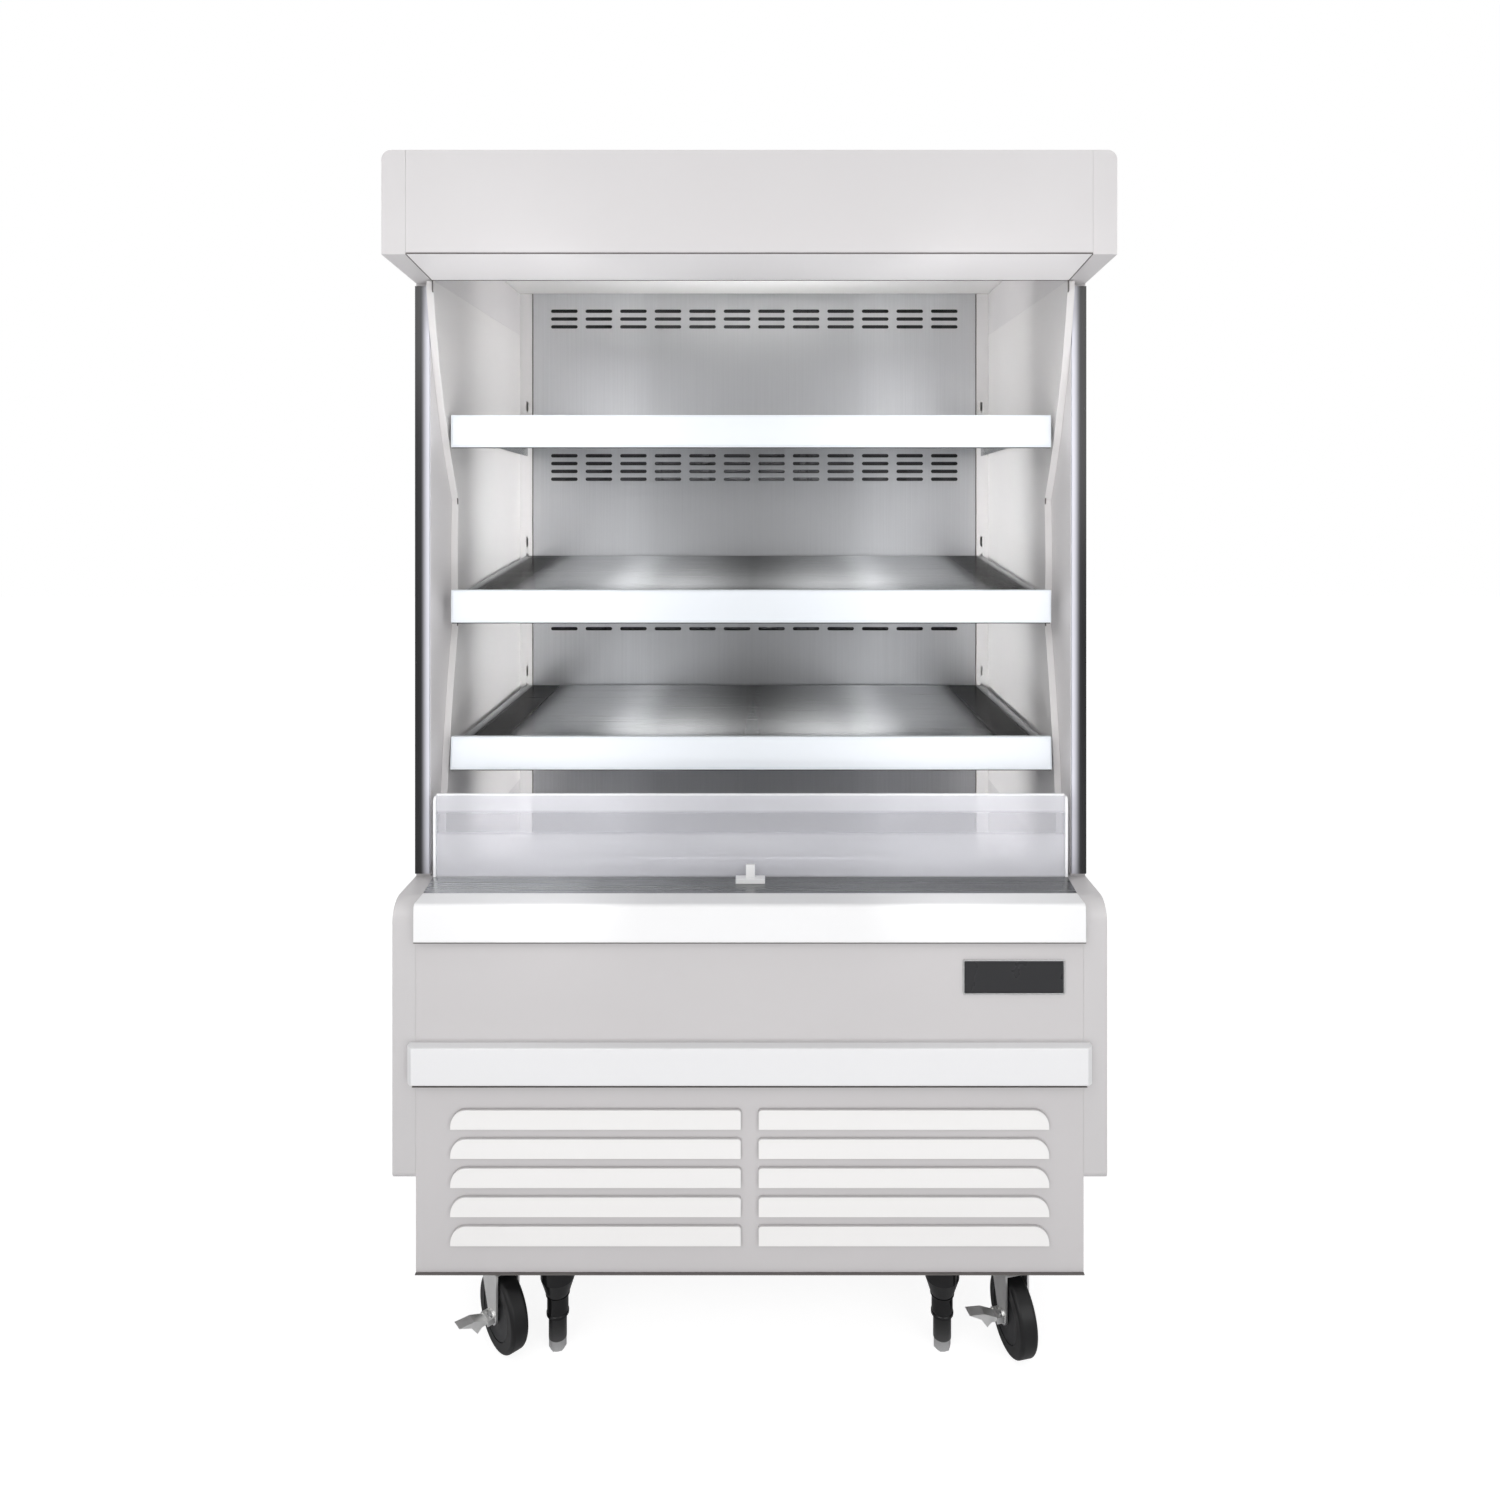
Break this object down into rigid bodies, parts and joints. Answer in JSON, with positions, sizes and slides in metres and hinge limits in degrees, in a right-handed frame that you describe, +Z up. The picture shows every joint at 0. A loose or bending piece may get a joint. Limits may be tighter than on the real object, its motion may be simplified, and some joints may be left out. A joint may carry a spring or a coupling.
{
  "type": "open display fridge",
  "caption": "Open-front multideck display fridge with tilted shelves, clear front guard, louvred base grille, night curtain, braked casters and levelling legs.",
  "frame": {"origin": "centre of the footprint on the floor", "axes": "+Z up, the open front faces -Y, +X to the right seen from the front"},
  "size_m": [1.219, 0.889, 2.044],
  "materials": {
    "cabinet_paint": "satin light grey paint over foam-filled steel",
    "front_paint": "satin light grey paint",
    "liner_paint": "satin warm white paint",
    "black_trim": "gloss black",
    "stainless": "fine brushed",
    "shelf_steel": "fine brushed",
    "price_rail": "satin white",
    "white_trim": "satin white",
    "clear_guard": "clear",
    "lamp_white": "opal white",
    "coil_fins": "mill finish",
    "fan_black": "matt black",
    "galvanised": "galvanised",
    "compressor_black": "gloss black paint",
    "copper": "bare copper tube",
    "gland_rubber": "matt black",
    "screw_steel": "bright",
    "caster_zinc": "zinc plated",
    "caster_tread": "satin black",
    "leg_black": "satin black",
    "foot_chrome": "bright",
    "curtain_cloth": "woven, silver grey",
    "curtain_bar_metal": "satin anodised"
  },
  "bodies": {
    "cabinet": {"base_frame": "front_paint", "lower_tub": "cabinet_paint", "rear_wall": "cabinet_paint", "roof_panel": "cabinet_paint", "side_panel_left": "cabinet_paint", "side_panel_right": "cabinet_paint", "side_liner_left": "liner_paint", "side_liner_right": "liner_paint", "side_trims": "black_trim", "back_panel": "stainless", "shelf_uprights": "liner_paint", "ceiling_panel": "liner_paint", "canopy_fascia": "cabinet_paint", "canopy_soffit": "cabinet_paint", "discharge_honeycomb": "white_trim", "canopy_lamp": "lamp_white", "front_glass": "clear_guard", "front_sill": "stainless", "front_rail": "white_trim", "front_panel": "front_paint", "bumper_rail": "white_trim", "lower_grille": "front_paint", "return_grille": "white_trim", "evaporator_coil": "coil_fins", "fan_plate": "stainless", "compressor": "compressor_black", "condenser_coil": "coil_fins", "condenser_shroud": "galvanised", "refrigerant_lines": "copper", "curtain_brackets": "white_trim", "curtain_catch": "white_trim", "cable_gland": "gland_rubber", "panel_screws": "screw_steel", "caster_plates": "caster_zinc", "leg_sockets": "leg_black", "curtain_fabric": "curtain_cloth"},
    "swivel_front_left": {"caster_fork_front_left": "caster_zinc"},
    "wheel_front_left": {"caster_wheel_front_left": "caster_tread"},
    "brake_front_left": {"brake_lever_front_left": "caster_zinc"},
    "swivel_front_right": {"caster_fork_front_right": "caster_zinc"},
    "wheel_front_right": {"caster_wheel_front_right": "caster_tread"},
    "brake_front_right": {"brake_lever_front_right": "caster_zinc"},
    "swivel_rear_left": {"caster_fork_rear_left": "caster_zinc"},
    "wheel_rear_left": {"caster_wheel_rear_left": "caster_tread"},
    "swivel_rear_right": {"caster_fork_rear_right": "caster_zinc"},
    "wheel_rear_right": {"caster_wheel_rear_right": "caster_tread"},
    "foot_left": {"leg_foot_left": "foot_chrome"},
    "foot_right": {"leg_foot_right": "foot_chrome"},
    "shelf_top": {"shelf_top": "shelf_steel", "shelf_rail_top": "price_rail"},
    "shelf_middle": {"shelf_middle": "shelf_steel", "shelf_rail_middle": "price_rail"},
    "shelf_bottom": {"shelf_bottom": "shelf_steel", "shelf_rail_bottom": "price_rail"},
    "deck_pan": {"deck_pan": "stainless"},
    "evaporator_fan_left": {"evaporator_fan_left": "fan_black"},
    "evaporator_fan_right": {"evaporator_fan_right": "fan_black"},
    "condenser_fan": {"condenser_fan": "fan_black"},
    "curtain_bar": {"curtain_bar": "curtain_bar_metal"},
    "curtain_roller": {"curtain_roller": "curtain_cloth"}
  },
  "joints": [
    {"name": "swivel_front_left", "type": "hinge", "parent": "cabinet", "child": "swivel_front_left", "pos_m": [-0.447, -0.3435, 0.149], "axis": [0, 0, 1], "continuous": true},
    {"name": "wheel_spin_front_left", "type": "hinge", "parent": "swivel_front_left", "child": "wheel_front_left", "pos_m": [-0.42601, -0.36765, 0.0635], "axis": [0.7547, 0.6561, 0], "continuous": true},
    {"name": "brake_front_left", "type": "hinge", "parent": "swivel_front_left", "child": "brake_front_left", "pos_m": [-0.44978, -0.38832, 0.064], "axis": [0.6561, -0.7547, 0], "range_deg": [0, 15]},
    {"name": "swivel_front_right", "type": "hinge", "parent": "cabinet", "child": "swivel_front_right", "pos_m": [0.447, -0.3435, 0.149], "axis": [0, 0, 1], "continuous": true},
    {"name": "wheel_spin_front_right", "type": "hinge", "parent": "swivel_front_right", "child": "wheel_front_right", "pos_m": [0.4542, -0.37468, 0.0635], "axis": [0.9744, 0.225, 0], "continuous": true},
    {"name": "brake_front_right", "type": "hinge", "parent": "swivel_front_right", "child": "brake_front_right", "pos_m": [0.42351, -0.38177, 0.064], "axis": [0.225, -0.9744, 0], "range_deg": [0, 15]},
    {"name": "swivel_rear_left", "type": "hinge", "parent": "cabinet", "child": "swivel_rear_left", "pos_m": [-0.447, 0.34, 0.149], "axis": [0, 0, 1], "continuous": true},
    {"name": "wheel_spin_rear_left", "type": "hinge", "parent": "swivel_rear_left", "child": "wheel_rear_left", "pos_m": [-0.447, 0.308, 0.0635], "axis": [1, 0, 0], "continuous": true},
    {"name": "swivel_rear_right", "type": "hinge", "parent": "cabinet", "child": "swivel_rear_right", "pos_m": [0.447, 0.34, 0.149], "axis": [0, 0, 1], "continuous": true},
    {"name": "wheel_spin_rear_right", "type": "hinge", "parent": "swivel_rear_right", "child": "wheel_rear_right", "pos_m": [0.447, 0.308, 0.0635], "axis": [1, 0, 0], "continuous": true},
    {"name": "foot_left", "type": "slide", "parent": "cabinet", "child": "foot_left", "axis": [0, 0, 1], "range_m": [-0.012, 0.03]},
    {"name": "foot_right", "type": "slide", "parent": "cabinet", "child": "foot_right", "axis": [0, 0, 1], "range_m": [-0.012, 0.03]},
    {"name": "shelf_lift_top", "type": "hinge", "parent": "cabinet", "child": "shelf_top", "pos_m": [0, 0.3512, 1.651], "axis": [-1, 0, 0], "range_deg": [0, 12]},
    {"name": "shelf_lift_middle", "type": "hinge", "parent": "cabinet", "child": "shelf_middle", "pos_m": [0, 0.3512, 1.323], "axis": [-1, 0, 0], "range_deg": [0, 12]},
    {"name": "shelf_lift_bottom", "type": "hinge", "parent": "cabinet", "child": "shelf_bottom", "pos_m": [0, 0.3512, 1.009], "axis": [-1, 0, 0], "range_deg": [0, 12]},
    {"name": "deck_lift", "type": "slide", "parent": "cabinet", "child": "deck_pan", "axis": [0, 0, 1], "range_m": [0, 0.12]},
    {"name": "evaporator_fan_spin_left", "type": "hinge", "parent": "cabinet", "child": "evaporator_fan_left", "pos_m": [-0.25, -0.059, 0.575], "axis": [0, 1, 0], "continuous": true},
    {"name": "evaporator_fan_spin_right", "type": "hinge", "parent": "cabinet", "child": "evaporator_fan_right", "pos_m": [0.25, -0.059, 0.575], "axis": [0, 1, 0], "continuous": true},
    {"name": "condenser_fan_spin", "type": "hinge", "parent": "cabinet", "child": "condenser_fan", "pos_m": [0.19, -0.2252, 0.31], "axis": [0, 1, 0], "continuous": true},
    {"name": "curtain_pull", "type": "slide", "parent": "cabinet", "child": "curtain_bar", "axis": [0, 0, -1], "range_m": [0, 1.04], "stiffness_N_per_m": 10, "springref_m": -2.5, "deforming": ["curtain_fabric"]},
    {"name": "curtain_roll", "type": "hinge", "parent": "cabinet", "child": "curtain_roller", "pos_m": [0, -0.279, 1.925], "axis": [1, 0, 0], "range_deg": [0, 2150]}
  ],
  "couplings": [
    {"joint": "curtain_roll", "follows": "curtain_pull", "rad_per_m": 35.714}
  ]
}
